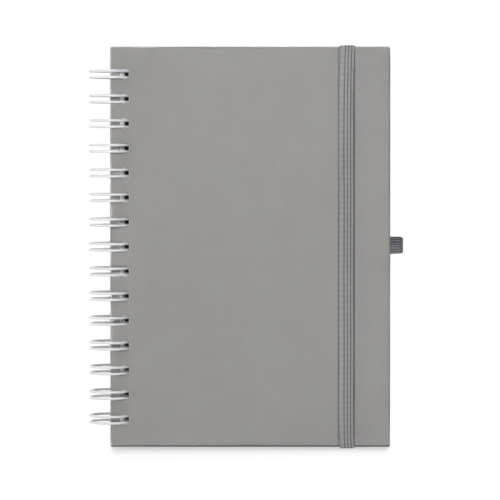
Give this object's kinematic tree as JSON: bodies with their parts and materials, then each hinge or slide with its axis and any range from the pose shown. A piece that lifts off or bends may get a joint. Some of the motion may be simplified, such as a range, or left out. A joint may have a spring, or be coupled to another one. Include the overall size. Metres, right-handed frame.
{
  "type": "spiral notebook",
  "caption": "Hard-cover notebook bound along its long side with a coated twin-loop wire, with an elastic closure band and an elastic pen loop at the fore edge.",
  "frame": {"origin": "middle of the back cover's outer face", "axes": "+X from the spine to the fore edge, +Y to the head of the page, +Z from the back cover to the front cover"},
  "size_m": [0.1623, 0.2076, 0.0216],
  "materials": {
    "pages": "uncoated",
    "wire": "nylon coated, semi-gloss",
    "band_elastic": "ribbed knitted elastic",
    "pen_loop_elastic": "ribbed woven elastic",
    "greyboard": "raw board",
    "covering": "matte, lightly grained",
    "endpaper": "uncoated"
  },
  "bodies": {
    "back_cover": {"back_board": "greyboard", "back_covering": "covering", "back_endpaper": "endpaper", "wire_binding": "wire", "elastic_band": "band_elastic", "pen_loop": "pen_loop_elastic"},
    "pages": {"page_block": "pages"},
    "front_cover": {"front_board": "greyboard", "front_covering": "covering", "front_endpaper": "endpaper"}
  },
  "joints": [
    {"name": "back_cover_hinge", "type": "hinge", "parent": "back_cover", "child": "pages", "pos_m": [-0.0725, 0, 0.00629], "axis": [0, -1, 0], "range_deg": [0, 180], "deforming": ["elastic_band"]},
    {"name": "front_cover_hinge", "type": "hinge", "parent": "pages", "child": "front_cover", "pos_m": [-0.0725, 0, 0.00629], "axis": [0, -1, 0], "range_deg": [0, 180], "deforming": ["elastic_band"]}
  ]
}
